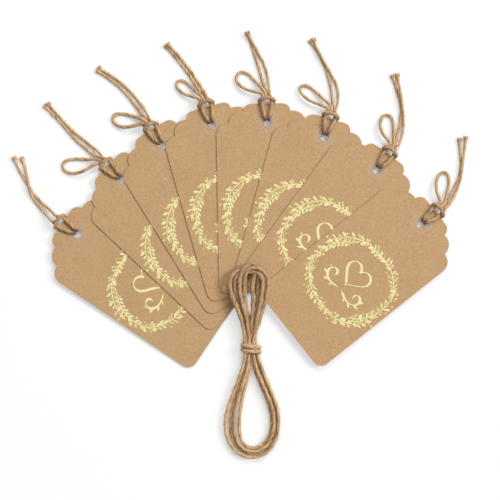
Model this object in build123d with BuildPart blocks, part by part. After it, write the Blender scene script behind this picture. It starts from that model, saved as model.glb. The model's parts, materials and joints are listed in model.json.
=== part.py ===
from build123d import *
import math
import os

# A fanned set of eight kraft gift tags. Each card has a stepped, scalloped head with a punched hole, a clear
# reinforcing ring stuck round the hole, and a twine tie held by a lark's head hitch: the bight goes through
# the hole, along the back and over the card's top edge, and the tie's legs run out under it. A small tied hank
# of the same twine lies across the foot of the fan. Units are millimetres, +Z is up, the table is z = 0, and
# the origin is the middle of the fan's box.

# Card
card_width = 50.0
card_length = 93.0
card_thickness = 0.4
hole_to_top = 9.2
head_round = 3.7
tablet_share = 0.458
step_share = 0.754
tablet_ledge = 1.55
shoulder_ledge = 0.55
foot_round = 4.4

# Clear ring on the front of the card
ring_width = 3.2
ring_thickness = 0.1

# Twine
twine_diameter = 1.6
twine_gap = 0.05
hitch_sides = 5
cord_sides = 5

# Hitch: legs in the hole, at the card's top edge and where they leave, and the bight that goes over them
leg_gap = 0.1
leg_rise = 1.07
hole_slack = 0.03
edge_spread = 1.9
riser_gap = 0.25
band_reach = 1.8
exit_spread = 2.1
exit_gap = 0.3
turn_round_share = 0.95
riser_round = 1.2
band_round = 1.7
row_gap = 0.06

# Tie: the free twine beyond the hitch, which starts a hinge gap away and comes down to the table
hinge_gap = 0.3
fall_length = 9.0
bend_share = 0.45

# Fan: each tag's place is a step from the tag below it, sideways and along that tag, and a turn
stack_gap = 0.02
first_angle = 146.0
fan_turns = (9.35, 14.75, 16.0, 14.9, 16.5, 20.6, 15.35)
fan_spread_shares = (0.153, -0.017, -0.013, -0.001, 0.031, 0.051, 0.131)
fan_along_shares = (-0.0287, -0.0347, -0.0475, -0.0662, -0.0829, -0.0909, -0.0951)

# Hank: four loops drawn in at the waist, as places of the bundle's centre from the waist
hank_loops = 4
hank_side = 0.3
hank_down = 57.8
hank_pitch = 2.2
hank_waist = 2.12
hank_lift = 3.7
hank_lower_lift = 2.4
hank_upper_lift = 6.75
hank_lower_left = (-9.5, -39.0)
hank_bottom = (0.9, -51.8)
hank_lower_right = (12.3, -35.6)
hank_upper_right = (7.6, 34.4)
hank_top = (1.4, 40.2)
hank_upper_left = (-6.3, 32.8)
hank_left_spread = 3.6
hank_right_spread = 2.3
hank_upper_right_spread = 2.0
hank_top_spread = 1.65
hank_upper_left_spread = 4.2
end_gap = 0.4
binding_turns = 2
binding_gap = 0.1
binding_pitch = 2.06

# Derived sizes
twine_radius = twine_diameter / 2
half_width = card_width / 2
tablet_half = tablet_share * half_width
step_half = step_share * half_width
step_round = step_half - tablet_half - tablet_ledge
shoulder_round = half_width - step_half - shoulder_ledge
foot_y = hole_to_top - card_length
leg_side = twine_radius + leg_gap / 2
hole_radius = math.hypot(leg_side, leg_rise) + twine_radius + hole_slack
front_z = card_thickness + ring_thickness + twine_gap + twine_radius
back_z = -twine_gap - twine_radius
band_z = front_z + twine_diameter + twine_gap
edge_y = hole_to_top + twine_gap + twine_radius
band_y = edge_y + band_reach
riser_side = edge_spread + twine_diameter + riser_gap
exit_y = band_y + twine_radius + exit_gap
exit_pitch = twine_diameter + row_gap
exit_drop = exit_pitch * math.sin(math.pi / 3)
tie_y = exit_y + hinge_gap
hitch_drop = twine_radius - back_z
stack_pitch = card_thickness + ring_thickness + stack_gap

# The four twine ends at the hitch, as sideways place and height over the card's back: three in a row, with the
# second tail in the hollow below the last two.
loop_start = (-exit_spread, front_z)
loop_end = (exit_pitch - exit_spread, front_z)
tail_b_start = (2 * exit_pitch - exit_spread, front_z)
tail_a_start = (1.5 * exit_pitch - exit_spread, front_z - exit_drop)

# Routes of the free twine, as points chosen along it: sideways from the tag's axis, and out from the hitch.
tie_routes = (
    {
        "tail_a": ((-2.3, 2.0), (-1.8, 5.4), (-0.4, 10.8), (2.2, 17.2), (5.7, 23.8), (9.4, 30.2), (13.2, 35.6)),
        "tail_b": ((1.5, 2.0), (1.7, 5.2), (2.2, 10.4), (4.4, 16.0), (8.2, 21.4), (12.0, 26.4), (15.4, 31.6)),
    },
    {
        "loop": (
            (-2.6, 1.1), (-4.5, 1.9), (-8.2, 2.6), (-12.3, 4.1), (-15.7, 6.9), (-17.1, 10.4), (-15.9, 13.1),
            (-13.0, 13.3), (-9.9, 11.1), (-7.0, 8.0), (-4.1, 5.1), (-1.8, 2.9), (-0.7, 1.4),
        ),
        "tail_a": ((0.0, 2.2), (-1.7, 5.6), (-3.4, 10.6), (-4.0, 17.0), (-3.2, 24.0), (-2.3, 31.0), (-2.6, 38.0)),
        "tail_b": ((1.5, 2.2), (0.7, 6.0), (-0.2, 11.5), (-0.8, 18.0), (-0.9, 24.6), (-0.3, 31.4), (-0.5, 38.0)),
    },
    {
        "loop": (
            (-2.6, 1.1), (-4.5, 2.0), (-8.6, 3.0), (-12.4, 4.6), (-15.0, 7.4), (-15.4, 10.6), (-13.2, 12.3),
            (-10.2, 10.9), (-7.0, 7.8), (-4.0, 5.0), (-1.7, 2.8), (-0.7, 1.4),
        ),
        "tail_a": ((0.1, 2.2), (-1.2, 6.2), (-2.7, 12.6), (-4.1, 19.4), (-5.9, 26.6), (-8.5, 33.0), (-10.6, 36.6)),
        "tail_b": ((1.5, 2.2), (0.9, 6.2), (0.3, 12.6), (-0.7, 19.6), (-3.0, 26.6), (-6.2, 32.6), (-8.4, 37.0)),
    },
    {
        "loop": (
            (-2.6, 1.2), (-4.4, 2.2), (-7.8, 4.2), (-10.6, 7.2), (-11.7, 10.2), (-10.2, 12.4), (-7.6, 12.0),
            (-5.4, 9.2), (-3.7, 5.8), (-1.9, 3.1), (-0.7, 1.5),
        ),
        "tail_a": ((0.1, 2.2), (-1.3, 6.0), (-3.0, 12.0), (-5.4, 18.5), (-8.2, 25.0), (-10.9, 30.6)),
        "tail_b": ((1.5, 2.2), (0.7, 6.2), (-0.9, 12.4), (-3.1, 18.8), (-5.6, 25.2), (-8.5, 31.3)),
    },
    {
        "loop": (
            (-2.6, 1.2), (-4.6, 2.3), (-8.6, 4.2), (-12.0, 7.2), (-13.2, 10.0), (-12.0, 12.3), (-9.3, 12.6),
            (-6.4, 10.4), (-4.0, 6.9), (-2.1, 3.7), (-0.8, 1.7),
        ),
        "tail_a": ((0.1, 2.2), (-1.2, 6.0), (-2.6, 12.0), (-4.3, 18.0), (-6.1, 24.4), (-8.4, 31.0)),
        "tail_b": ((1.5, 2.2), (1.3, 5.6), (1.4, 10.8), (0.1, 16.5), (-2.6, 22.0), (-4.9, 27.0), (-6.3, 32.0)),
    },
    {
        "loop": (
            (-2.6, 1.0), (-4.4, 1.7), (-8.4, 2.2), (-12.6, 3.4), (-16.0, 5.4), (-17.4, 8.2), (-15.9, 10.6),
            (-12.8, 10.2), (-9.4, 8.2), (-6.2, 6.0), (-3.3, 4.2), (-1.4, 2.7), (-0.6, 1.4),
        ),
        "tail_a": (
            (0.1, 2.2), (-1.0, 6.0), (-3.6, 11.8), (-7.6, 18.2), (-12.4, 23.8), (-17.2, 28.4), (-21.2, 31.0),
        ),
        "tail_b": (
            (1.6, 2.2), (1.3, 6.0), (0.1, 11.4), (-2.6, 16.4), (-6.6, 21.2), (-11.4, 25.8), (-15.8, 30.0),
            (-18.6, 33.6),
        ),
    },
    {
        "loop": (
            (-2.6, 1.1), (-4.4, 2.0), (-7.9, 3.4), (-10.9, 5.8), (-12.5, 8.8), (-11.6, 11.4), (-8.8, 11.7),
            (-6.0, 9.6), (-3.9, 6.6), (-2.0, 3.6), (-0.8, 1.7),
        ),
        "tail_a": (
            (0.1, 2.2), (-1.3, 6.2), (-3.3, 11.6), (-6.4, 17.2), (-10.2, 22.0), (-14.8, 25.6), (-19.8, 28.2),
            (-22.6, 29.4),
        ),
        "tail_b": (
            (1.6, 2.2), (1.0, 6.4), (-0.8, 12.0), (-3.8, 17.4), (-7.9, 22.6), (-12.8, 27.4), (-18.0, 31.2),
            (-20.6, 32.8),
        ),
    },
    {
        "loop": (
            (-2.6, 1.1), (-4.4, 2.0), (-8.0, 3.6), (-11.3, 6.2), (-13.2, 9.4), (-12.2, 12.0), (-9.4, 12.2),
            (-6.4, 10.0), (-4.2, 6.9), (-2.2, 3.8), (-0.8, 1.7),
        ),
        "tail_a": (
            (0.1, 2.2), (-1.4, 6.0), (-3.4, 10.8), (-6.4, 16.0), (-10.0, 20.6), (-14.2, 24.2), (-18.6, 26.8),
            (-22.4, 29.2),
        ),
        "tail_b": (
            (1.6, 2.2), (1.0, 6.2), (-1.0, 11.6), (-4.3, 17.0), (-8.4, 22.0), (-12.6, 26.0), (-16.8, 29.6),
            (-20.2, 32.4),
        ),
    },
)


def direction(angle):
    return Vector(math.cos(math.radians(angle)), math.sin(math.radians(angle)))


def card_outline(plane):
    with BuildSketch(plane) as outline:
        with BuildLine():
            top = Line((0, hole_to_top), (tablet_half - head_round, hole_to_top))
            tablet = JernArc(start=top @ 1, tangent=(1, 0), radius=head_round, arc_size=-90)
            ledge = Line(tablet @ 1, (step_half - step_round, (tablet @ 1).Y))
            step = JernArc(start=ledge @ 1, tangent=(1, 0), radius=step_round, arc_size=-90)
            rest = Line(step @ 1, (half_width - shoulder_round, (step @ 1).Y))
            shoulder = JernArc(start=rest @ 1, tangent=(1, 0), radius=shoulder_round, arc_size=-90)
            side = Line(shoulder @ 1, (half_width, foot_y + foot_round))
            foot = JernArc(start=side @ 1, tangent=(0, -1), radius=foot_round, arc_size=-90)
            Line(foot @ 1, (0, foot_y))
            mirror(about=Plane.YZ)
        make_face()
        Circle(hole_radius, mode=Mode.SUBTRACT)
    return outline.sketch


def hitch_line(plane):
    left = [
        (-exit_spread, exit_y, front_z),
        (-edge_spread, hole_to_top, front_z),
        (-leg_side, leg_rise, front_z),
        (-leg_side, leg_rise, back_z),
        (-riser_side, edge_y, back_z),
        (-riser_side, band_y, band_z),
    ]
    right = [(-x, y, z) for x, y, z in reversed(left)]
    right[-1] = (tail_b_start[0], exit_y, front_z)
    points = [plane.from_local_coords(Vector(*point)) for point in left + right]
    turn_round = turn_round_share * (front_z - back_z) / 2
    bends = bend_radii(points)
    half = [bends[0], turn_round, turn_round, riser_round, band_round]
    with BuildLine() as route:
        FilletPolyline(*points, radius=half + half[:0:-1] + [bends[-1]])
    return route.wire()


def bend_radii(points):
    radii = []
    for before, corner, after in zip(points, points[1:], points[2:]):
        shorter = min((corner - before).length, (after - corner).length)
        turn = (corner - before).get_angle(after - corner)
        radii.append(bend_share * shorter / math.tan(math.radians(turn) / 2))
    return radii


def twine(route, sides, name):
    with BuildPart() as cord:
        with BuildLine():
            add(route)
        with BuildSketch(Plane(origin=route @ 0, z_dir=route % 0)) as section:
            RegularPolygon(twine_radius, sides)
        sweep()
    length = cord.part.volume / section.sketch.area
    print(name, "route", round(route.length, 2), "volume over section", round(length, 2))
    return cord


def export(piece, name):
    piece.part.label = name
    export_step(piece.part, f"parts/{name}.step")


# Places of the tags: each hole's place and the tag's direction, from the first tag up
tag_count = len(fan_turns) + 1
holes = [Vector(0, 0)]
angles = [first_angle]
for turn, spread, along in zip(fan_turns, fan_spread_shares, fan_along_shares):
    up = direction(angles[-1])
    right = direction(angles[-1] - 90)
    sideways = half_width + leg_side + twine_radius + spread * card_width
    holes.append(holes[-1] + right * sideways + up * (along * card_length))
    angles.append(angles[-1] - turn)

# The cards lie parallel, and the whole stack leans so that each head comes down to the table on its hitch.
lean = math.atan((tag_count - 1) * stack_pitch / (holes[-1].X - holes[0].X))
stack_normal = Vector(math.sin(lean), 0, math.cos(lean))
heights = [i * stack_pitch - math.tan(lean) * hole.X for i, hole in enumerate(holes)]


def tag_planes(shift):
    planes = []
    for hole, angle, height in zip(holes, angles, heights):
        right = direction(angle - 90)
        flat_right = right - stack_normal * right.dot(stack_normal)
        planes.append(Plane(origin=hole + Vector(0, 0, height) + shift, x_dir=flat_right, z_dir=stack_normal))
    return planes


flat_card = card_outline(Plane.XY)
flat_hitch = hitch_line(Plane.XY)
corners = []
for plane in tag_planes(Vector(0, 0, 0)):
    card_box = flat_card.moved(plane.location).bounding_box()
    hitch_box = flat_hitch.moved(plane.location).bounding_box()
    reach = Vector(twine_radius, twine_radius, twine_radius)
    corners += [card_box.min, card_box.max, hitch_box.min - reach, hitch_box.max + reach]
low = Vector(min(c.X for c in corners), min(c.Y for c in corners), min(c.Z for c in corners))
high = Vector(max(c.X for c in corners), max(c.Y for c in corners), max(c.Z for c in corners))
middle = (low + high) * 0.5
planes = tag_planes(Vector(-middle.X, -middle.Y, -low.Z))
print("fan box", high - low, "middle", middle)


def make_card(plane):
    with BuildPart() as card:
        add(card_outline(plane))
        extrude(amount=card_thickness)
    return card


def make_ring(plane):
    with BuildPart() as ring:
        with BuildSketch(plane.offset(card_thickness)):
            Circle(hole_radius + ring_width)
            Circle(hole_radius, mode=Mode.SUBTRACT)
        extrude(amount=ring_thickness)
    return ring


def tie_point(plane, side, out, start_lift):
    # A point of the free twine: over the table by the height at the hitch, which fades away with the distance.
    place = plane.from_local_coords(Vector(side, tie_y + out, 0))
    share = min(1, max(0, out / fall_length))
    fade = 1 - share * share * (3 - 2 * share)
    return Vector(place.X, place.Y, twine_radius + start_lift * fade)


def tie_line(plane, start, points, end=None):
    first = plane.from_local_coords(Vector(start[0], tie_y, start[1]))
    lift = first.Z - twine_radius
    line = [first] + [tie_point(plane, side, out, lift) for side, out in points]
    if end:
        line.append(plane.from_local_coords(Vector(end[0], tie_y, end[1])))
    radii = bend_radii(line)
    with BuildLine() as route:
        FilletPolyline(*line, radius=radii)
    print("radii", [round(radius, 1) for radius in radii])
    return route.wire()


for number, (plane, routes) in enumerate(zip(planes, tie_routes), start=1):
    export(make_card(plane), f"card_{number}")
    export(make_ring(plane), f"ring_{number}")
    export(twine(hitch_line(plane), hitch_sides, f"hitch_{number}"), f"hitch_{number}")
    if "loop" in routes:
        loop = tie_line(plane, loop_start, routes["loop"], loop_end)
        export(twine(loop, cord_sides, f"loop_{number}"), f"loop_{number}")
        tail_a = tie_line(plane, tail_a_start, routes["tail_a"])
    else:
        tail_a = tie_line(plane, loop_start, routes["tail_a"])
    export(twine(tail_a, cord_sides, f"tail_a_{number}"), f"tail_a_{number}")
    tail_b = tie_line(plane, tail_b_start, routes["tail_b"])
    export(twine(tail_b, cord_sides, f"tail_b_{number}"), f"tail_b_{number}")
    hinge = plane.from_local_coords(Vector(0, exit_y + hinge_gap / 2, front_z + twine_radius))
    print(f"tie hinge {number}", *hinge, *plane.x_dir)


# Hank: one length of twine that goes round the bundle's centre line four times. The four strands turn a quarter
# about that line in each round, so each ends where the next began.
hank_origin = Vector(hank_side, -hank_down, 0)
strand_radius = hank_pitch / math.sqrt(2)
left, right, up, down = Vector(-1, 0, 0), Vector(1, 0, 0), Vector(0, 1, 0), Vector(0, -1, 0)
hank_nodes = (
    # centre from the waist, lift, outward, heading, spread, twist in degrees
    ((-hank_waist, 0), hank_lift, left, down, strand_radius, 0),
    (hank_lower_left, hank_lower_lift, left, down, hank_left_spread, -27),
    (hank_bottom, hank_lower_lift, down, right, hank_right_spread, -12),
    (hank_lower_right, hank_lower_lift, right, up, hank_right_spread, 0),
    ((hank_waist, 0), hank_lift, right, up, strand_radius, 0),
    (hank_upper_right, hank_upper_lift, right, up, hank_upper_right_spread, 25),
    (hank_top, hank_upper_lift, up, left, hank_top_spread, 45),
    (hank_upper_left, hank_upper_lift, left, down, hank_upper_left_spread, 60),
)


def strand_node(loop, node):
    centre, lift, outward, heading, spread, twist = node
    phase = math.radians(45 + 90 * loop + twist)
    sideways = outward * (spread * math.cos(phase))
    place = hank_origin + Vector(centre[0], centre[1], lift + strand_radius * math.sin(phase))
    return place + sideways, heading


def biarc(start, start_heading, end, end_heading):
    # Two tangent arcs from one place and heading to another; draws them and returns their radii.
    span = end - start
    both = start_heading + end_heading
    spare = 2 * (1 - start_heading.dot(end_heading))
    forward = span.dot(both)
    if spare > 0:
        reach = (math.sqrt(forward**2 + spare * span.dot(span)) - forward) / spare
    else:
        reach = span.dot(span) / (2 * forward)
    joint = (start + end + (start_heading - end_heading) * reach) * 0.5
    joint_heading = ((end - end_heading * reach) - (start + start_heading * reach)).normalized()
    first = TangentArc(start, joint, tangent=start_heading)
    second = TangentArc(joint, end, tangent=joint_heading)
    return [first.radius, second.radius]


strand = [strand_node(loop, node) for loop in range(hank_loops) for node in hank_nodes]
strand.append(strand_node(hank_loops, hank_nodes[0]))
first_end = strand[0][0] + down * (end_gap / 2)
last_end = strand[-1][0] + up * (end_gap / 2)
strand[0] = (first_end + down * twine_diameter, down)
strand[-1] = (last_end + up * twine_diameter, down)
with BuildLine() as hank_route:
    Line(first_end, strand[0][0])
    hank_radii = []
    for (start, start_heading), (end, end_heading) in zip(strand, strand[1:]):
        hank_radii += biarc(start, start_heading, end, end_heading)
    Line(strand[-1][0], last_end)
hank = twine(hank_route.wire(), cord_sides, "hank")
export(hank, "hank")
print("hank least radius", round(min(hank_radii), 2))


def least_gap(route, samples, apart):
    # The least gap between parts of one route that are more than a given length apart along it. Its two ends face
    # each other or lie far apart, so the first and last parts aren't taken together.
    points = [route @ (i / samples) for i in range(samples + 1)]
    skip = math.ceil(apart / route.length * samples)
    gaps = []
    for i, point in enumerate(points):
        last = min(samples, samples + i - skip)
        gaps += [(point - other).length for other in points[i + skip:last + 1]]
    return min(gaps) - twine_diameter


gap_samples = 900
gap_apart = 6 * twine_diameter
print("hank least gap to itself", round(least_gap(hank_route.wire(), gap_samples, gap_apart), 2))

# Binding: two turns of twine round the hank's waist, on the bundle's corner strands
binding_side = hank_waist + hank_pitch / 2 + twine_diameter + binding_gap
binding_rise = hank_pitch / 2 + twine_diameter + binding_gap
binding_round = twine_diameter + binding_gap
binding_corners = ((1, -1), (1, 1), (-1, 1), (-1, -1))
binding_points = [hank_origin + Vector(0, -binding_pitch * binding_turns / 2, hank_lift - binding_rise)]
for index in range(binding_turns * len(binding_corners)):
    side, rise = binding_corners[index % len(binding_corners)]
    along = ((index + 0.5) / len(binding_corners) - binding_turns / 2) * binding_pitch
    binding_points.append(hank_origin + Vector(side * binding_side, along, hank_lift + rise * binding_rise))
binding_points.append(hank_origin + Vector(0, binding_pitch * binding_turns / 2, hank_lift - binding_rise))
with BuildLine() as binding_route:
    FilletPolyline(*binding_points, radius=binding_round)
export(twine(binding_route.wire(), cord_sides, "hank_binding"), "hank_binding")
print("binding least gap to itself", round(least_gap(binding_route.wire(), gap_samples, gap_apart), 2))
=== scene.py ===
import bpy
import json
import math
import numpy as np
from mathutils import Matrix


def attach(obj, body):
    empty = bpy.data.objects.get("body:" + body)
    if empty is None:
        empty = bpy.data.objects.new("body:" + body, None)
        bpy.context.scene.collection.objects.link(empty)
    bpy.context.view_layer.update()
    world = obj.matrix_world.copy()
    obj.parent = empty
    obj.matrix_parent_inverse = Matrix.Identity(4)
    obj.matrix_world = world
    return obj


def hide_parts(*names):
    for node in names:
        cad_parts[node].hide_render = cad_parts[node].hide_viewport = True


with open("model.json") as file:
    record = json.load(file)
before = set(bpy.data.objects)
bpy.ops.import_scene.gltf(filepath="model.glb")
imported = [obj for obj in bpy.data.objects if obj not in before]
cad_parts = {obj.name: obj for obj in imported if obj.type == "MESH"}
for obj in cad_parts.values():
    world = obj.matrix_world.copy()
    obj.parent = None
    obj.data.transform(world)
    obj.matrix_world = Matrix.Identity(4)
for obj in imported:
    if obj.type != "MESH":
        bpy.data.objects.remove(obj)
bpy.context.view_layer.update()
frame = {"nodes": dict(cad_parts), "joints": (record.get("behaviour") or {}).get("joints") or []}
mm = 0.001
scene = bpy.context.scene
scene.view_settings.view_transform = "Standard"
print("frame loaded:", len(frame["nodes"]), "nodes")


# camera: straight down on the fan; frameWidth is how much of the table the picture spans, in millimetres
camera = dict(x=-0.2, y=-9.4, frameWidth=246.8, lens=100.0, sensor=36.0)
cameraData = bpy.data.cameras.new("camera")
cameraData.lens = camera["lens"]
cameraData.sensor_width = camera["sensor"]
cameraObject = bpy.data.objects.new("camera", cameraData)
scene.collection.objects.link(cameraObject)
cameraHeight = camera["frameWidth"] * mm * camera["lens"] / camera["sensor"]
cameraObject.location = (camera["x"] * mm, camera["y"] * mm, cameraHeight)
scene.camera = cameraObject


# shader maths: a wrapped socket, so that 1 - mask or height * 0.3 adds its Math nodes
class Wire:
    def __init__(self, finish, socket):
        self.finish = finish
        self.socket = socket

    def math(self, operation, first, second):
        return self.finish.node("ShaderNodeMath", dict(operation=operation), {0: first, 1: second})

    def __add__(self, other):
        return self.math("ADD", self, other)

    def __radd__(self, other):
        return self.math("ADD", other, self)

    def __sub__(self, other):
        return self.math("SUBTRACT", self, other)

    def __rsub__(self, other):
        return self.math("SUBTRACT", other, self)

    def __mul__(self, other):
        return self.math("MULTIPLY", self, other)

    def __rmul__(self, other):
        return self.math("MULTIPLY", other, self)

    def __gt__(self, other):
        return self.math("GREATER_THAN", self, other)

    def out(self, name):
        return Wire(self.finish, self.socket.node.outputs[name])


class Finish:
    def __init__(self, name):
        self.material = bpy.data.materials.new(name)
        self.material.use_nodes = True
        self.tree = self.material.node_tree
        self.tree.nodes.clear()
        self.output = self.tree.nodes.new("ShaderNodeOutputMaterial")

    def node(self, kind, settings=None, inputs=None):
        made = self.tree.nodes.new(kind)
        for key, value in (settings or {}).items():
            setattr(made, key, value)
        for key, value in (inputs or {}).items():
            if isinstance(value, Wire):
                self.tree.links.new(value.socket, made.inputs[key])
            else:
                made.inputs[key].default_value = value
        return Wire(self, made.outputs[0])

    def mix(self, share, first, second):
        made = self.node("ShaderNodeMix", dict(data_type="RGBA"), {0: share, 6: first, 7: second})
        return Wire(self, made.socket.node.outputs[2])

    def band(self, value, limits):
        return self.node("ShaderNodeMapRange", dict(clamp=True, interpolation_type="SMOOTHSTEP"),
                         {"Value": value, "From Min": limits[0], "From Max": limits[1]})

    def noise(self, vector, scale, detail=2.0, rough=0.5, dims="3D"):
        return self.node("ShaderNodeTexNoise", dict(noise_dimensions=dims),
                         {"Vector": vector, "Scale": scale, "Detail": detail, "Roughness": rough})

    def tone(self):
        return self.node("ShaderNodeAttribute", dict(attribute_name="tone")).out("Fac")

    def coords(self, kind):
        return self.node("ShaderNodeTexCoord").out(kind)

    def stretch(self, vector, scale, turn=0.0):
        return self.node("ShaderNodeMapping", None,
                         {"Vector": vector, "Scale": scale, "Rotation": (0, 0, turn)})

    def bump(self, height, strength, depth):
        return self.node("ShaderNodeBump", None, {"Strength": strength, "Distance": depth, "Height": height})

    def surface(self, **sockets):
        inputs = {key.replace("_", " "): value for key, value in sockets.items()}
        return self.show(self.node("ShaderNodeBsdfPrincipled", None, inputs))

    def show(self, shader):
        self.tree.links.new(shader.socket, self.output.inputs["Surface"])
        return self.material


def colour(r, g, b):
    return (r, g, b, 1.0)


kraft = dict(
    base=colour(0.562, 0.355, 0.181), pale=colour(0.740, 0.510, 0.300), deep=colour(0.390, 0.225, 0.100),
    fleck=colour(0.240, 0.140, 0.070), speckle=2300.0, patches=1450.0, mottle=70.0, fleckScale=330.0,
    fibres=(900.0, 4200.0, 900.0), fibreTurn=0.6, crossFibres=(4200.0, 900.0, 900.0), crossTurn=0.35,
    grain=(0.34, 0.30, 0.18, 0.18), deepBand=(0.36, 0.50), paleBand=(0.52, 0.66), paleShare=0.8,
    mottleBand=(0.35, 0.75), mottleShare=0.12, fleckChance=0.965, fleckBand=(0.05, 0.13), fleckShare=0.7,
    toothStrength=0.25, toothDepth=0.00004,
)


def kraftCard():
    # unbleached card: fine pale and dark speckle, short fibres, rare bran flecks
    f = Finish("kraftCard")
    at = f.coords("Object")
    speckle = f.noise(at, kraft["speckle"], 3.0, 0.6)
    fibres = f.noise(f.stretch(at, kraft["fibres"], kraft["fibreTurn"]), 1.0)
    crossFibres = f.noise(f.stretch(at, kraft["crossFibres"], kraft["crossTurn"]), 1.0)
    mottle = f.noise(at, kraft["mottle"], 3.0)
    patches = f.noise(at, kraft["patches"])
    fine, coarse, along, across = kraft["grain"]
    grain = speckle * fine + patches * coarse + fibres * along + crossFibres * across
    tone = f.mix(f.band(grain, kraft["deepBand"]), kraft["deep"], kraft["base"])
    tone = f.mix(f.band(grain, kraft["paleBand"]) * kraft["paleShare"], tone, kraft["pale"])
    tone = f.mix(f.band(mottle, kraft["mottleBand"]) * kraft["mottleShare"], tone, kraft["deep"])
    cells = f.node("ShaderNodeTexVoronoi", None, {"Vector": at, "Scale": kraft["fleckScale"]})
    pick = f.node("ShaderNodeSeparateColor", None, {"Color": cells.out("Color")})
    fleck = (pick > kraft["fleckChance"]) * (1 - f.band(cells, kraft["fleckBand"]))
    tone = f.mix(fleck * kraft["fleckShare"], tone, kraft["fleck"])
    bump = f.bump(grain, kraft["toothStrength"], kraft["toothDepth"])
    return f.surface(Base_Color=tone, Roughness=0.88, Normal=bump, Specular_IOR_Level=0.25)


foil = dict(
    pale=colour(0.98, 0.92, 0.46), mid=colour(0.87, 0.73, 0.30), deep=colour(0.64, 0.44, 0.16),
    ripple=420.0, toneShare=0.7, rippleShare=0.5, midBand=(0.12, 0.5), paleBand=(0.45, 0.85),
    crinkle=1600.0, crinkleStrength=0.2, crinkleDepth=0.00003,
)


def foilGold():
    # hot-stamped gold: painted highlight and shade, each leaf painted brighter or deeper as if it caught the
    # light at its own strength
    f = Finish("foilGold")
    at = f.coords("Object")
    lit = f.tone() * foil["toneShare"] + f.noise(at, foil["ripple"]) * foil["rippleShare"]
    gold = f.mix(f.band(lit, foil["midBand"]), foil["deep"], foil["mid"])
    gold = f.mix(f.band(lit, foil["paleBand"]), gold, foil["pale"])
    bump = f.bump(f.noise(at, foil["crinkle"]), foil["crinkleStrength"], foil["crinkleDepth"])
    return f.surface(Base_Color=gold, Metallic=0.12, Roughness=0.32, Normal=bump)


jute = dict(
    light=colour(0.775, 0.540, 0.315), mid=colour(0.595, 0.382, 0.198), dark=colour(0.230, 0.128, 0.060),
    alongScale=0.18, aroundScale=5.0, finerAlong=1.7, finerAround=3.2, stretches=150.0,
    fibreShare=0.6, finerShare=0.4, midBand=(0.34, 0.47), lightBand=(0.46, 0.60), brownBand=(0.50, 0.75),
    brownShare=0.3, napStrength=0.7, napDepth=0.00014, knotPaintedShade=0.33, fuzzPale=0.8,
)


def juteTwine(name, lighten=0.0, paintedShade=0.0):
    # two-ply jute: fibres run along each ply, tan with browner stretches
    f = Finish(name)
    lay = f.coords("UV")
    along, around = jute["alongScale"], jute["aroundScale"]
    fibres = f.noise(f.stretch(lay, (along, around, 1.0)), 1.0, 3.0, 0.6, "2D")
    finer = f.stretch(lay, (along * jute["finerAlong"], around * jute["finerAround"], 1.0))
    streak = fibres * jute["fibreShare"] + f.noise(finer, 1.0, 2.0, 0.6, "2D") * jute["finerShare"]
    stretches = f.noise(f.coords("Object"), jute["stretches"])
    tone = f.mix(f.band(streak, jute["midBand"]), jute["dark"], jute["mid"])
    tone = f.mix(f.band(streak, jute["lightBand"]), tone, jute["light"])
    tone = f.mix(f.band(stretches, jute["brownBand"]) * jute["brownShare"], tone, jute["dark"])
    tone = f.mix(lighten, tone, jute["light"])
    # the tone attribute and the knot's extra amount darken the twine towards dark jute: browner twine in
    # places, painted shade in others; below zero the tone lightens it towards light jute, a painted
    # highlight
    brownAndShade = f.tone()
    tone = f.mix(brownAndShade + paintedShade, tone, jute["dark"])
    tone = f.mix(0 - brownAndShade, tone, jute["light"])
    bump = f.bump(streak, jute["napStrength"], jute["napDepth"])
    return f.surface(Base_Color=tone, Roughness=0.92, Normal=bump, Specular_IOR_Level=0.2)


vinyl = dict(veil=colour(0.80, 0.70, 0.58), grain=900.0, roughness=0.34, uneven=0.06, alpha=0.075)


def clearVinyl():
    # thin clear vinyl: a faint veil with a soft shine
    f = Finish("clearVinyl")
    rough = vinyl["roughness"] + f.noise(f.coords("Object"), vinyl["grain"]) * vinyl["uneven"]
    return f.surface(Base_Color=vinyl["veil"], Roughness=rough, Alpha=vinyl["alpha"])


tableTop = dict(
    size=3.0, white=colour(0.97, 0.97, 0.97), shaded=colour(0.95, 0.95, 0.95), grain=60.0, grainShare=0.1,
    glow=1.05, leastGlow=0.12, openGlow=0.43, hollowReach=0.004, hollowBand=(0.30, 0.95),
)


def whiteTable():
    # white sweep: seen nearly white, less so in narrow hollows, and it keeps part of the shadow
    f = Finish("whiteTable")
    grain = f.noise(f.coords("Object"), tableTop["grain"])
    white = f.mix(grain * tableTop["grainShare"], tableTop["white"], tableTop["shaded"])
    paper = f.node("ShaderNodeBsdfDiffuse", None, {"Color": white})
    glow = f.node("ShaderNodeEmission", None, {"Color": colour(1, 1, 1), "Strength": tableTop["glow"]})
    path = f.node("ShaderNodeLightPath")
    seen = path.out("Is Camera Ray") + path.out("Is Glossy Ray") + path.out("Is Transmission Ray")
    hollow = f.node("ShaderNodeAmbientOcclusion", dict(samples=8), {"Distance": tableTop["hollowReach"]})
    openness = f.band(hollow.out("AO"), tableTop["hollowBand"])
    share = seen * (tableTop["leastGlow"] + openness * tableTop["openGlow"])
    return f.show(f.node("ShaderNodeMixShader", None, {0: share, 1: paper, 2: glow}))


# knot: jute with painted shade over it, darker as if in the shade of its own turns
finishes = dict(
    kraft=kraftCard(), foil=foilGold(), ring=clearVinyl(), twine=juteTwine("juteTwine"),
    knot=juteTwine("juteKnotPaintedShade", paintedShade=jute["knotPaintedShade"]),
    fuzz=juteTwine("juteFuzz", lighten=jute["fuzzPale"]), table=whiteTable(),
)
for name, node in frame["nodes"].items():
    if name.startswith("card"):
        node.data.materials.clear()
        node.data.materials.append(finishes["kraft"])
print("finishes made")


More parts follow.
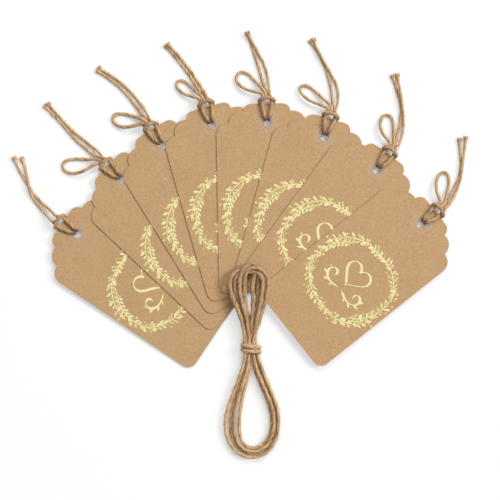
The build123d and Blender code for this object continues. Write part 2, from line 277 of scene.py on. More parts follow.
# places of the tags: each tie's hinge gives its tag's frame
hinge = dict(along=13.1, height=2.15)
folds = sorted((j for j in frame["joints"] if j["name"].endswith("fold")), key=lambda j: j["name"])
sideAxes = [np.array(j["axis"]) / np.linalg.norm(j["axis"]) for j in folds]
stackNormal = np.cross(sideAxes[-1], sideAxes[0])
stackNormal /= np.linalg.norm(stackNormal)


class TagPlace:
    # a tag's own frame in millimetres: side from its axis, along from the hole to the head, up from its back
    def __init__(self, joint, side):
        self.side = side
        self.along = np.cross(stackNormal, side)
        pivot = np.array(joint["pos_m"]) / mm
        self.hole = pivot - hinge["along"] * self.along - hinge["height"] * stackNormal

    def world(self, points):
        side, along, up = np.asarray(points, float).T[:, :, None]
        return self.hole + side * self.side + along * self.along + up * stackNormal


tags = [TagPlace(joint, side) for joint, side in zip(folds, sideAxes)]


def addMesh(name, verts, faces, material, loopUv=None, tone=None, smooth=True):
    # a mesh object from points in millimetres, with its place in its mesh
    mesh = bpy.data.meshes.new(name)
    mesh.from_pydata((np.asarray(verts) * mm).tolist(), [], faces)
    if loopUv is not None:
        mesh.uv_layers.new(name="lay").data.foreach_set("uv", np.asarray(loopUv, np.float32).ravel())
    if tone is not None:
        mesh.attributes.new("tone", "FLOAT", "POINT").data.foreach_set("value", np.asarray(tone, np.float32))
    mesh.polygons.foreach_set("use_smooth", np.full(len(mesh.polygons), smooth))
    mesh.materials.append(material)
    mesh.update()
    piece = bpy.data.objects.new(name, mesh)
    scene.collection.objects.link(piece)
    return piece


def splinePath(points, step):
    # points read from a NURBS spline with the route's points as its control points, then spaced evenly
    curve = bpy.data.curves.new("route", "CURVE")
    curve.dimensions = "3D"
    spline = curve.splines.new("NURBS")
    spline.points.add(len(points) - 1)
    spline.points.foreach_set("co", np.column_stack([points, np.ones(len(points))]).ravel())
    spline.order_u = 3
    spline.use_endpoint_u = True
    spline.resolution_u = 16
    holder = bpy.data.objects.new("route", curve)
    made = bpy.data.meshes.new_from_object(holder)
    line = np.empty(len(made.vertices) * 3)
    made.vertices.foreach_get("co", line)
    line = line.reshape(-1, 3)
    bpy.data.objects.remove(holder)
    bpy.data.curves.remove(curve)
    bpy.data.meshes.remove(made)
    runs = np.linalg.norm(np.diff(line, axis=0), axis=1)
    line = line[np.concatenate([[True], runs > 1e-6])]  # two points in one place count once
    along = np.concatenate([[0], np.cumsum(np.linalg.norm(np.diff(line, axis=0), axis=1))])
    even = np.linspace(0, along[-1], int(along[-1] / step) + 1)
    return np.column_stack([np.interp(even, along, line[:, i]) for i in range(3)])


def pathFrames(path, reference):
    # at each point: along the path, the reference less its share along it, and across both
    tangent = np.gradient(path, axis=0)
    tangent /= np.linalg.norm(tangent, axis=1)[:, None]
    normal = reference - (tangent @ reference)[:, None] * tangent
    normal /= np.linalg.norm(normal, axis=1)[:, None]
    return tangent, normal, np.cross(tangent, normal)


def tubeFaces(rings, sides, first):
    # quads round and along a tube, from the index of its first vertex, with closed ends
    i, j = np.meshgrid(np.arange(rings - 1), np.arange(sides), indexing="ij")
    a = first + i * sides + j
    b = first + i * sides + (j + 1) % sides
    quads = np.stack([a, b, b + sides, a + sides], -1).reshape(-1, 4).tolist()
    start = [first + k for k in range(sides)][::-1]
    end = [first + (rings - 1) * sides + k for k in range(sides)]
    return quads + [start, end]


# twine: plies wound at the pitch, each an oval off the strand's centre line; sizes in millimetres
twine = dict(
    diameter=1.6, plies=2, offset=0.25, halfRadial=0.56, halfAround=0.72, pitch=11.5, step=0.25, sides=10,
    firstTurn=6.28, waver=0.5, waverRun=40, uneven=0.14, unevenRun=9, plyShift=37.0, floor=0.02,
)
# hair: the stray fibres that leave a strand, perMm of them to a millimetre
hair = dict(
    perMm=1.3, length=(1.5, 5.5), stand=1.9, radius=0.058, stations=5, sides=3, taper=0.75, floor=0.03,
    root=0.55, endClear=16, slant=(0.3, 1.1), waver=0.18, bow=(0.0, 0.5), share=(0.4, 1.0),
    reference=(0.31, 0.52, 0.79),
)
# fray: how a cut end opens over its reach, the fibres that fan out of it, and how much paler the cut end is
# painted, a painted highlight
fray = dict(
    hairs=110, length=(0.9, 1.7), radius=0.085, reach=3.4, power=1.4, offset=0.5, girth=0.70, tipHighlight=0.9,
    scatter=1.5, spread=1.55, root=0.70, back=(0.4, 1.4), fan=0.14, curl=0.04,
)


def wander(count, smoothness, rng):
    # smooth random numbers in about -1 to 1 along a line
    knots = rng.uniform(-1, 1, int(count / smoothness) + 3)
    return np.interp(np.arange(count) / smoothness, np.arange(len(knots)), knots)


def hairTubes(roots, headings, bends, lengths, radii, first):
    # fibres: root + length * (t * heading + t * t * bend), as tubes that narrow to the tip
    t = np.linspace(0, 1, hair["stations"])
    line = roots[:, None] + lengths[:, None, None] * (
        t[None, :, None] * headings[:, None] + (t * t)[None, :, None] * bends[:, None])
    line[..., 2] = np.maximum(line[..., 2], hair["floor"])
    across = np.cross(headings, hair["reference"])
    across /= np.linalg.norm(across, axis=1)[:, None]
    over = np.cross(headings, across)
    sides = hair["sides"]
    angle = np.arange(sides) * 2 * math.pi / sides
    ring = np.cos(angle)[None, :, None] * across[:, None] + np.sin(angle)[None, :, None] * over[:, None]
    width = radii[:, None] * (1 - hair["taper"] * t)[None]
    verts = line[:, :, None] + width[:, :, None, None] * ring[:, None]
    count, rings = len(roots), len(t)
    base = first + np.arange(count)[:, None, None] * rings * sides
    i, j = np.meshgrid(np.arange(rings - 1), np.arange(sides), indexing="ij")
    a = base + (i * sides + j)[None]
    b = base + (i * sides + (j + 1) % sides)[None]
    quads = np.stack([a, b, b + sides, a + sides], -1).reshape(-1, 4).tolist()
    starts = (base[:, 0] + np.arange(sides)[::-1]).tolist()
    tips = (base[:, 0] + (rings - 1) * sides + np.arange(sides)).tolist()
    return verts.reshape(-1, 3), quads + starts + tips


def strayFibres(rng, path, frames, count, lengthRange, stand):
    # fibres that leave the strand at a slant and bow back to it, none further from it than they may stand
    tangent, normal, side = frames
    pick = rng.integers(hair["endClear"], len(path) - hair["endClear"], count)
    spin = rng.uniform(0, 2 * math.pi, count)
    out = np.cos(spin)[:, None] * normal[pick] + np.sin(spin)[:, None] * side[pick]
    slant = rng.uniform(*hair["slant"], (count, 1))
    headings = out * slant + tangent[pick] * rng.choice([-1, 1], (count, 1))
    headings /= np.linalg.norm(headings, axis=1)[:, None]
    bends = rng.normal(0, hair["waver"], (count, 3)) - out * rng.uniform(*hair["bow"], (count, 1))
    t = np.linspace(0, 1, hair["stations"])[:, None, None]
    leaving = t * headings + t * t * bends
    leaving -= np.sum(leaving * tangent[pick], axis=2, keepdims=True) * tangent[pick]
    lengths = rng.uniform(*lengthRange, count) * rng.uniform(*hair["share"], count)
    lengths = np.minimum(lengths, stand / np.linalg.norm(leaving, axis=2).max(axis=0))
    return path[pick] + out * hair["root"], headings, bends, lengths


def frayedTip(rng, end, heading):
    # fibres that fan out a little from the strand's cut end
    n = fray["hairs"]
    spread = np.clip(rng.normal(0, 1, (n, 3)), -fray["scatter"], fray["scatter"])
    spread -= (spread @ heading)[:, None] * heading
    spread *= np.minimum(1, fray["spread"] / np.linalg.norm(spread, axis=1))[:, None]
    roots = end + spread * fray["root"] - heading * rng.uniform(*fray["back"], n)[:, None]
    return roots, heading + spread * fray["fan"], spread * fray["curl"], rng.uniform(*fray["length"], n)


def layTwine(name, path, reference, seed, frayEnd=False, hairs=1.0, hairReach=1.0, swell=1.0, brownAndShade=0.0,
             finish="twine"):
    # plies wound round the path as a helix, each an oval carried along it, then stray fibres and frayed tips
    rng = np.random.default_rng(seed)
    count, sides = len(path), twine["sides"]
    frames = pathFrames(path, np.asarray(reference, float))
    tangent, normal, side = frames
    along = np.arange(count) * np.linalg.norm(np.diff(path, axis=0), axis=1).mean()
    length = along[-1]
    loose = np.zeros(count)
    if frayEnd:
        loose += np.clip((along - length) / fray["reach"] + 1, 0, 1) ** fray["power"]
    turn = (2 * math.pi * along / twine["pitch"] + wander(count, twine["waverRun"], rng) * twine["waver"]
            + rng.uniform(0, twine["firstTurn"]))
    psi = np.arange(sides) * 2 * math.pi / sides
    verts, faces, uv = [], [], []
    first = 0
    for ply in range(twine["plies"]):
        angle = turn + 2 * math.pi * ply / twine["plies"]
        outward = np.cos(angle)[:, None] * normal + np.sin(angle)[:, None] * side
        around = -np.sin(angle)[:, None] * normal + np.cos(angle)[:, None] * side
        thick = 1 + twine["uneven"] * wander(count, twine["unevenRun"], rng)
        centre = path + (twine["offset"] * swell * (1 + fray["offset"] * loose))[:, None] * outward
        girth = swell * thick * (1 + fray["girth"] * loose)
        radial = twine["halfRadial"] * girth
        broad = twine["halfAround"] * girth
        ring = (centre[:, None] + (radial[:, None] * np.cos(psi))[..., None] * outward[:, None]
                + (broad[:, None] * np.sin(psi))[..., None] * around[:, None])
        ring[..., 2] = np.maximum(ring[..., 2], twine["floor"])
        faces += tubeFaces(count, sides, first)
        verts.append(ring.reshape(-1, 3))
        u = np.broadcast_to((along + twine["plyShift"] * ply + seed)[:-1, None], (count - 1, sides))
        v = np.broadcast_to(np.arange(sides) / sides, (count - 1, sides))
        du, dv = twine["step"], 1 / sides
        loop = np.stack([np.stack([u, v], -1), np.stack([u, v + dv], -1),
                         np.stack([u + du, v + dv], -1), np.stack([u + du, v], -1)], 2)
        uv.append(loop.reshape(-1, 2))
        uv.append(np.zeros((2 * sides, 2)))
        first += count * sides
    hairCount = int(length * hair["perMm"] * hairs)
    fibres = strayFibres(rng, path, frames, hairCount, np.array(hair["length"]) * hairReach, hair["stand"])
    if frayEnd:
        fibres = [np.concatenate(pair) for pair in zip(fibres, frayedTip(rng, path[-1], tangent[-1]))]
    radii = np.full(len(fibres[0]), fray["radius"])
    radii[:hairCount] = hair["radius"]
    hairVerts, hairFaces = hairTubes(*fibres, radii, first)
    verts.append(hairVerts)
    uv.append(np.zeros((sum(len(f) for f in hairFaces), 2)))
    tone = np.zeros(first + len(hairVerts))
    # tone per vertex: the darkening passed in, and the cut end painted paler, a painted highlight
    tone[:first] = np.tile(np.repeat(brownAndShade - fray["tipHighlight"] * loose, sides), twine["plies"])
    piece = addMesh(name, np.vstack(verts), faces + hairFaces, finishes[finish], np.vstack(uv), tone)
    piece.data.materials.append(finishes["fuzz"])
    isHair = np.zeros(len(piece.data.polygons), np.int32)
    isHair[len(faces):] = 1
    piece.data.polygons.foreach_set("material_index", isHair)
    return piece


# clear ring: its outline carried round the hole's axis, a hair's breadth clear of the card
clearRing = dict(inner=2.21, outer=5.35, low=0.42, high=0.50, edge=0.05, sides=72)


def ringMesh():
    # a corner (r, z) of the outline, carried to the angle a, is (r cos a, r sin a, z)
    inner, outer, edge = clearRing["inner"], clearRing["outer"], clearRing["edge"]
    low, high = clearRing["low"], clearRing["high"]
    outline = np.array([
        (inner, low), (outer, low), (outer, high - edge), (outer - edge, high), (inner, high),
    ])
    sides, corners = clearRing["sides"], len(outline)
    angle = np.arange(sides) * 2 * math.pi / sides
    verts = np.stack([np.cos(angle)[:, None] * outline[:, 0], np.sin(angle)[:, None] * outline[:, 0],
                      np.broadcast_to(outline[:, 1], (sides, corners))], -1)
    i, j = np.meshgrid(np.arange(sides), np.arange(corners), indexing="ij")
    here, beyond = i * corners, (i + 1) % sides * corners
    up = (j + 1) % corners
    faces = np.stack([here + j, beyond + j, beyond + up, here + up], -1)
    return verts.reshape(-1, 3), faces.reshape(-1, 4).tolist()


ringVerts, ringFaces = ringMesh()
for number, tag in enumerate(tags, start=1):
    piece = addMesh(f"clearRing_{number}", tag.world(ringVerts), ringFaces, finishes["ring"], smooth=False)
    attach(piece, f"tag_{number}")
    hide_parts(f"ring_{number}")
print("rings stuck on")


# hitch: the lark's head on each tag; half of its route in the tag's own frame, then the crown over the legs
hitch = dict(
    half=(
        (-1.70, 13.45, 1.35), (-2.45, 11.0, 1.25), (-2.40, 7.6, 1.30), (-1.50, 3.6, 1.30),
        (-0.75, 1.30, 1.25), (-0.75, 1.30, -0.85), (-1.45, 3.2, -0.85), (-2.85, 7.6, -0.85),
        (-3.55, 10.2, -0.85), (-3.60, 11.0, 2.7),
    ),
    crown=(0.0, 12.15, 3.0), exit=(1.22, 13.45, 1.35), lean=(0.75, -0.6, 0.3), girth=1.18, drawnIn=0.30,
    paintedHoleShade=0.7, pinchFrom=3.4, pinchRun=1.6, pressRun=0.6, hairs=0.9, hairReach=0.45, seed=100,
)
for number, tag in enumerate(tags, start=1):
    left = np.array(hitch["half"])
    right = left[::-1] * (-1, 1, 1)
    right[-1] = hitch["exit"]
    path = splinePath(tag.world(np.vstack([left, [hitch["crown"]], right])), twine["step"])
    leanSide, leanAlong, leanUp = hitch["lean"]
    lean = leanSide * tag.side + leanAlong * tag.along + leanUp * stackNormal
    # near the hole the twine is drawn in and painted darker, a painted shade where it dives into the hole
    pinchedAndShaded = np.clip((hitch["pinchFrom"] - (path - tag.hole) @ tag.along) / hitch["pinchRun"], 0, 1)
    behind = np.clip((tag.hole - path) @ stackNormal / hitch["pressRun"], 0, 1)
    piece = layTwine(f"knot_{number}", path, lean, hitch["seed"] + number, hairs=hitch["hairs"],
                     hairReach=hitch["hairReach"], brownAndShade=hitch["paintedHoleShade"] * pinchedAndShaded, finish="knot",
                     swell=hitch["girth"] - hitch["drawnIn"] * np.maximum(pinchedAndShaded, behind))
    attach(piece, f"tag_{number}")
    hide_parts(f"hitch_{number}")
print("hitches tied")


# tie: the free twine beyond each hitch, as sideways and outward millimetres from it, and a lift where it
# crosses over its fellow
tie = dict(
    along=13.25, tuck=0.7, fall=9.0, radius=0.8, front=1.35, drop=1.4376, left=-2.1, pitch=1.66, seed=200,
    tailGirth=0.84, tailHairs=0.9, loopHairs=0.5, loopBrowner=0.06,
    loopGirths=(0.88, 0.99, 1.12, 0.94, 0.97, 0.95, 1.02, 0.98),
)
tieRoutes = (
    {
        "tail_a": (
            (-1.9, 1.2), (-1.4, 3.4), (-0.7, 6.4), (0.1, 9.5), (1.4, 13.6), (3.1, 16.6, 0.8),
            (5.1, 19.2, 1.5), (7.8, 21.8, 0.8), (11.7, 25.9), (13.9, 28.6), (15.3, 30.7),
        ),
        "tail_b": (
            (1.4, 1.6), (1.8, 3.4), (2.2, 5.6), (2.9, 11.3), (4.0, 15.8), (5.4, 19.3), (7.3, 23.6),
            (9.5, 28.1), (11.5, 31.2), (13.3, 33.9),
        ),
    },
    {
        "loop": (
            (-2.6, 1.0), (-5.0, 1.3), (-9.0, 2.4), (-12.8, 4.4), (-15.7, 7.4), (-16.4, 10.7), (-14.6, 13.1),
            (-11.6, 12.8), (-8.8, 10.5), (-6.2, 7.6), (-3.8, 4.8), (-1.8, 2.7), (-0.7, 1.4),
        ),
        "tail_a": (
            (0.0, 2.0), (-0.6, 4.6), (-1.3, 9.7), (-1.5, 15.5), (-1.2, 20.4), (-0.5, 25.3), (-0.2, 29.8),
            (-0.2, 34.0), (0.3, 39.0),
        ),
        "tail_b": (
            (1.6, 2.0), (2.0, 5.6), (1.5, 10.7), (1.0, 16.1), (0.8, 21.4), (1.0, 26.1), (1.3, 29.7),
            (1.6, 33.6), (2.2, 38.4),
        ),
    },
    {
        "loop": (
            (-2.6, 1.0), (-4.8, 1.5), (-8.4, 2.6), (-11.7, 4.6), (-14.0, 7.5), (-14.2, 10.7), (-11.8, 12.2),
            (-8.9, 11.0), (-6.1, 8.3), (-3.5, 5.5), (-1.6, 3.0), (-0.7, 1.5),
        ),
        "tail_a": (
            (0.1, 2.2), (-0.6, 6.8), (-1.0, 12.2), (-1.7, 18.0), (-2.9, 23.1), (-4.6, 27.7), (-6.2, 31.6),
            (-7.7, 35.0),
        ),
        "tail_b": (
            (1.7, 2.2), (2.1, 6.6), (1.7, 11.5), (1.0, 16.6), (-0.2, 21.7), (-1.7, 26.2), (-3.6, 30.0),
            (-5.4, 33.6), (-6.3, 35.8),
        ),
    },
    {
        "loop": (
            (-2.6, 1.2), (-4.4, 2.2), (-7.8, 4.2), (-10.6, 7.2), (-11.7, 10.2), (-10.2, 12.4), (-7.6, 12.0),
            (-5.4, 9.2), (-3.7, 5.8), (-1.9, 3.1), (-0.7, 1.5),
        ),
        "tail_a": ((0.0, 2.2), (-1.5, 6.0), (-3.3, 12.0), (-5.7, 18.5), (-8.4, 25.0), (-11.0, 30.6)),
        "tail_b": ((1.4, 2.2), (0.2, 6.2), (-1.7, 12.4), (-3.9, 18.8), (-6.7, 25.2, 0.4), (-9.8, 31.0, 0.9)),
    },
    {
        "loop": (
            (-2.6, 1.1), (-4.9, 1.6), (-9.2, 2.6), (-13.0, 4.8), (-15.0, 7.8), (-14.3, 10.8), (-11.8, 12.1),
            (-8.6, 10.8), (-5.8, 7.6), (-3.4, 4.6), (-1.6, 2.5), (-0.7, 1.4),
        ),
        "tail_a": ((0.0, 2.2), (-1.6, 6.0), (-3.1, 12.0), (-4.8, 18.0), (-6.7, 24.4), (-9.0, 31.0)),
        "tail_b": (
            (1.4, 2.2), (1.1, 5.2), (0.9, 8.2), (0.2, 12.1), (-1.3, 16.4), (-3.5, 20.6), (-5.9, 25.0, 0.7),
            (-7.6, 28.6, 1.2), (-8.8, 31.2, 1.0),
        ),
    },
    {
        "loop": (
            (-2.6, 1.0), (-4.8, 1.2), (-9.0, 1.4), (-13.4, 2.3), (-16.8, 4.1), (-18.4, 6.6), (-17.0, 8.8),
            (-13.9, 8.8), (-10.3, 7.2), (-6.9, 5.3), (-3.8, 3.7), (-1.6, 2.4), (-0.6, 1.4),
        ),
        "tail_a": (
            (0.1, 2.2), (-1.4, 6.2), (-3.3, 10.8), (-5.4, 14.8), (-8.0, 18.7), (-11.2, 22.9), (-14.9, 26.8),
            (-17.3, 28.7), (-19.4, 30.6),
        ),
        "tail_b": (
            (1.6, 2.2), (1.6, 6.4), (0.4, 10.4), (-2.2, 14.6), (-6.0, 18.2, 0.4), (-10.5, 22.7, 1.2),
            (-14.3, 26.6, 1.2), (-16.6, 29.4, 0.8), (-18.1, 31.8, 0.4),
        ),
    },
    {
        "loop": (
            (-2.6, 1.0), (-4.5, 1.4), (-8.1, 2.3), (-11.2, 4.5), (-13.1, 7.8), (-12.8, 10.8), (-10.6, 12.2),
            (-7.8, 10.8), (-5.3, 8.0), (-3.4, 5.3), (-1.9, 3.1), (-0.8, 1.6),
        ),
        "tail_a": (
            (0.1, 2.2), (-1.6, 5.2), (-3.2, 9.6), (-5.6, 14.4), (-8.6, 18.8), (-12.2, 21.8), (-15.8, 24.5),
            (-18.6, 26.8), (-21.0, 28.6),
        ),
        "tail_b": (
            (1.6, 2.2), (0.9, 5.2), (-0.4, 8.8), (-2.4, 12.4), (-5.2, 15.9, 0.6), (-8.4, 19.5, 1.3),
            (-12.0, 22.9, 1.4), (-15.0, 25.8, 1.0), (-17.8, 28.6, 0.4), (-19.4, 30.4),
        ),
    },
    {
        "loop": (
            (-2.6, 1.0), (-4.6, 1.5), (-8.0, 2.7), (-11.3, 5.2), (-13.3, 8.4), (-13.1, 11.4), (-10.8, 12.6),
            (-7.9, 11.0), (-5.4, 8.4), (-3.5, 5.7), (-2.0, 3.5), (-0.8, 1.7),
        ),
        "tail_a": (
            (0.1, 2.2), (-1.4, 5.4), (-3.0, 9.8), (-5.0, 13.8), (-7.6, 17.6), (-10.8, 20.8), (-14.4, 23.2),
            (-17.6, 25.2), (-20.6, 27.7),
        ),
        "tail_b": (
            (1.5, 2.2), (0.8, 5.4), (-0.6, 8.6), (-2.9, 12.8), (-5.9, 16.7, 0.5), (-9.4, 20.2, 1.2),
            (-12.8, 23.7, 0.9), (-15.8, 27.0, 0.3), (-18.4, 29.8), (-19.4, 30.8),
        ),
    },
)
# where each strand leaves the hitch: side and up in the tag's own frame
tieStarts = {
    "loop": (tie["left"], tie["front"]),
    "loopEnd": (tie["left"] + tie["pitch"], tie["front"]),
    "tail_a": (tie["left"] + 1.5 * tie["pitch"], tie["front"] - tie["drop"]),
    "tail_b": (tie["left"] + 2 * tie["pitch"], tie["front"]),
}


def tieRoute(tag, start, points, end=None):
    # from under the hitch's crown down to the table, by a smooth fade over the fall length
    inner = tie["along"] - tie["tuck"]
    first = tag.world([(start[0], inner, start[1]), (start[0], tie["along"], start[1])])
    side, out, lift = np.array([(*point, 0.0)[:3] for point in points]).T
    line = tag.world(np.column_stack([side, out + tie["along"], np.zeros(len(side))]))
    share = np.clip(out / tie["fall"], 0, 1)
    fade = 1 - share * share * (3 - 2 * share)
    line[:, 2] = tie["radius"] + (first[1, 2] - tie["radius"]) * fade + lift
    rows = [first, line]
    if end is not None:
        rows.append(tag.world([(end[0], tie["along"], end[1]), (end[0], inner, end[1])]))
    return np.vstack(rows)


for number, (tag, routes) in enumerate(zip(tags, tieRoutes), start=1):
    for kind, points in routes.items():
        isLoop = kind == "loop"
        start = tieStarts[kind]
        if kind == "tail_a" and "loop" not in routes:
            start = tieStarts["loop"]
        end = tieStarts["loopEnd"] if isLoop else None
        path = splinePath(tieRoute(tag, start, points, end), twine["step"])
        plain = kind.replace("_", "")
        seed = tie["seed"] + 10 * number + len(kind) + len(points)
        piece = layTwine(f"{plain}_{number}", path, (0, 0, 1), seed, frayEnd=not isLoop,
                         hairReach=tie["loopHairs"] if isLoop else tie["tailHairs"],
                         swell=tie["loopGirths"][number - 1] if isLoop else tie["tailGirth"],
                         brownAndShade=tie["loopBrowner"] if isLoop else 0.0)
        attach(piece, f"tie_{number}")
        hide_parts(f"{kind}_{number}")
        "object" if kind == "loop" else "bare"
print("ties laid")


# hank: four loops of one length of twine about a bundle's centre line, with a quarter turn about it in each
hank = dict(
    loops=4, side=0.3, down=57.8, lift=3.4, endGap=0.4, between=3, firstPhase=45, fullness=0.22, seed=301,
    hairs=1.4, girth=1.02, upperGirth=0.20, upperRun=16, upperBrownAndShade=0.31, toneSeed=303, toneRun=170,
    toneBrowner=0.12, fibreSeed=304, fibres=560, fibreLength=(3.0, 9.5), fibreStand=4.6, fibreRadius=0.068,
)
hankNodes = (
    # sideways and along from the waist, height, outward, heading, half spread, half rise, twist in degrees
    ((-1.75, 0.0), 3.4, (-1, 0), (-0.04, -1), 1.20, 1.20, 0),
    ((-3.1, -12.5), 2.9, (-1, 0.2), (-0.28, -1), 2.00, 0.95, -24),
    ((-9.5, -37.5), 2.0, (-1, 0), (0, -1), 3.63, 0.60, -31),
    ((0.9, -51.9), 2.1, (0, -1), (1, 0), 2.37, 0.90, -27),
    ((12.2, -35.6), 2.2, (1, 0), (0, 1), 1.85, 1.05, -26),
    ((4.4, -12.5), 2.9, (1, 0.3), (-0.36, 1), 2.00, 1.05, -24),
    ((1.75, 0.0), 3.4, (1, 0), (-0.06, 1), 1.20, 1.20, 0),
    ((2.4, 15.2), 5.2, (1, -0.1), (0.24, 1), 2.20, 1.10, -150),
    ((4.6, 31.8), 6.6, (1, 0), (0.03, 1), 4.10, 1.00, -152),
    ((1.3, 40.0), 6.8, (0, 1), (-1, 0.05), 2.00, 1.20, -47),
    ((-7.0, 32.6), 6.6, (-1, 0), (-0.06, -1), 3.90, 0.80, 63),
    ((-3.2, 15.2), 5.0, (-1, -0.1), (0.24, -1), 1.95, 1.00, 70),
)
hankOrigin = np.array([hank["side"], -hank["down"], 0])


def strandNode(loop, node):
    # the node's centre, moved by spread * cos(phase) outward and by rise * sin(phase) upward
    centre, height, outward, heading, spread, rise, twist = node
    phase = math.radians(hank["firstPhase"] + 360 / hank["loops"] * loop + twist)
    outward, heading = np.array((*outward, 0.0)), np.array((*heading, 0.0))
    place = hankOrigin + np.array([*centre, height + rise * math.sin(phase)])
    place += outward / np.linalg.norm(outward) * spread * math.cos(phase)
    return place, heading / np.linalg.norm(heading)


def hankRoute():
    # a cubic from each node to the next that keeps their headings gives the loops' control points
    nodes = [strandNode(loop, node) for loop in range(hank["loops"]) for node in hankNodes]
    nodes.append(strandNode(hank["loops"], hankNodes[0]))
    toFoot = np.array([0.0, -1.0, 0.0])
    first, last = nodes[0][0] + toFoot * hank["endGap"] / 2, nodes[-1][0] - toFoot * hank["endGap"] / 2
    nodes[0] = (first + toFoot * twine["diameter"], toFoot)
    nodes[-1] = (last - toFoot * twine["diameter"], toFoot)
    points = [first]
    t = np.linspace(0, 1, hank["between"] + 1)[:-1, None]
    for (p, u), (q, v) in zip(nodes, nodes[1:]):
        reach = np.linalg.norm(q - p) * (1 + hank["fullness"] * (1 - u @ v))
        points.extend((2 * t**3 - 3 * t**2 + 1) * p + (t**3 - 2 * t**2 + t) * reach * u
                      + (3 * t**2 - 2 * t**3) * q + (t**3 - t**2) * reach * v)
    points.extend([nodes[-1][0], last])
    return np.array(points)


path = splinePath(hankRoute(), twine["step"])
# upper part darker: browner twine and painted shade of the dense bundle; the strand tone wanders at random
upper = np.clip((path[:, 1] - hankOrigin[1]) / hank["upperRun"], 0, 1)
strandTone = np.clip(wander(len(path), hank["toneRun"], np.random.default_rng(hank["toneSeed"])), 0, 1)
piece = layTwine("spareTwine", path, (0, 0, 1), hank["seed"], hairs=hank["hairs"],
                 swell=hank["girth"] + hank["upperGirth"] * upper,
                 brownAndShade=hank["upperBrownAndShade"] * upper + hank["toneBrowner"] * strandTone)
hankFrames = pathFrames(path, np.array([0.0, 0.0, 1.0]))
fibres = strayFibres(np.random.default_rng(hank["fibreSeed"]), path, hankFrames, hank["fibres"],
                     hank["fibreLength"], hank["fibreStand"])
fibreVerts, fibreFaces = hairTubes(*fibres, np.full(hank["fibres"], hank["fibreRadius"]), 0)
fuzz = addMesh("hankFuzz", fibreVerts, fibreFaces, finishes["fuzz"])
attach(fuzz, "hank")
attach(piece, "hank")
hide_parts("hank")

# binding: the turns of twine that draw the hank in
binding = dict(
    turns=2, pitch=2.30, side=4.15, rise=2.45, cornerReach=1.5, girth=1.3, hairs=2.2, hairReach=0.5,
    seed=302,
)


def bindingRoute():
    # two turns round the waist; each corner has two control points, so that the twine hugs the bundle
    side, rise, cut = binding["side"], binding["rise"], binding["cornerReach"]
    ring = ((side - cut, -rise), (side, cut - rise), (side, rise - cut), (side - cut, rise),
            (cut - side, rise), (-side, rise - cut), (-side, cut - rise), (cut - side, -rise))
    ends = binding["pitch"] * binding["turns"] / 2
    points = [(0, -ends, -rise)]
    count = len(ring) * binding["turns"]
    for i in range(count):
        x, z = ring[i % len(ring)]
        points.append((x, ends * (2 * (i + 0.5) / count - 1), z))
    points.append((0, ends, -rise))
    return hankOrigin + np.array(points) + np.array([0, 0, hank["lift"]])


path = splinePath(bindingRoute(), twine["step"])
piece = layTwine("waistBinding", path, (0, 1, 0), binding["seed"], hairs=binding["hairs"],
                 hairReach=binding["hairReach"], swell=binding["girth"])
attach(piece, "hank")
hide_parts("hank_binding")
print("hank wound")


# foil print: a ring of leafy sprigs, and inside it a penned heart over two scrolls
foilPrint = dict(
    centre=(0.3, -44.5), height=(0.425, 0.475), thickness=0.015, seed=77, toneSeed=5, penLeastGlint=0.75,
    leafLeastGlint=0.05,
)
leaf = dict(stations=6, tip=0.06, body=0.94, skew=1.25, full=0.6)
pen = dict(nib=(0.20, 0.66), angle=0.7, power=1.4, taperRun=8, taperLeast=0.25)
wreath = dict(
    ring=20.3, drift=1.9, sprigs=6, firstSprig=20, sprigShift=6, span=79.0, spanShift=7, stem=0.25,
    stemPoints=44, stemTaper=(0.35, 0.65, 0.12, 0.8), leafPairs=13, leafRun=(0.06, 0.97), pairStep=0.022,
    leafShift=0.012, swell=(0.62, 0.38, 0.8), clusters=19, clusterShift=1.7, leafLength=(2.2, 3.6),
    leafWidth=(0.60, 0.92), leafSlant=(0.55, 1.15), leafBend=(-0.22, 0.05), slimBelow=-0.5, slim=0.72,
    stalk=0.35, berryAbove=0.86, berryChance=0.05, berry=0.52, berryStalk=(1.7, 3.0), berryStalkWidth=0.11,
    lastLeaf=(2.6, 0.5),
)
ornament = dict(
    heart=0.44, heartAt=(0.0, 3.4), heartGap=0.10, heartPoints=90, scroll=21.0, scrollAt=(0.5, -6.6),
    scrollPoints=80, scrollHeading=-0.35, scrollTurn=6.0, scrollPower=2.3, leafAt=(14, 26, 38, 49),
    leafLength=(2.6, 3.0, 2.8, 2.3), leafWidth=0.55, leafBend=0.12, leafSlant=0.75,
)


def facing(heading):
    # a step of length one at each angle
    return np.column_stack([np.cos(heading), np.sin(heading)])


def leafGrid(base, heading, length, half, bend):
    # leaf: base + length * (t along the heading + bend * t * t across it), half * profile(t) to each side
    t = np.linspace(0, 1, leaf["stations"])[None, :, None, None]
    s = np.array([-1.0, 0.0, 1.0])[None, None, :, None]
    ahead = facing(heading)[:, None, None]
    across = np.column_stack([-np.sin(heading), np.cos(heading)])[:, None, None]
    reach = length[:, None, None, None]
    profile = leaf["tip"] + leaf["body"] * np.abs(np.sin(math.pi * t ** leaf["skew"])) ** leaf["full"]
    return (base[:, None, None] + reach * t * ahead + reach * bend[:, None, None, None] * t * t * across
            + s * half[:, None, None, None] * profile * across)


def penGrid(line, half):
    # stroke: the line's points, with the given half width to each side
    heading = np.gradient(line, axis=0)
    heading /= np.linalg.norm(heading, axis=1)[:, None]
    across = np.column_stack([-heading[:, 1], heading[:, 0]])[:, None]
    return (line[:, None] + np.array([-1.0, 0.0, 1.0])[None, :, None] * half[:, None, None] * across)[None]


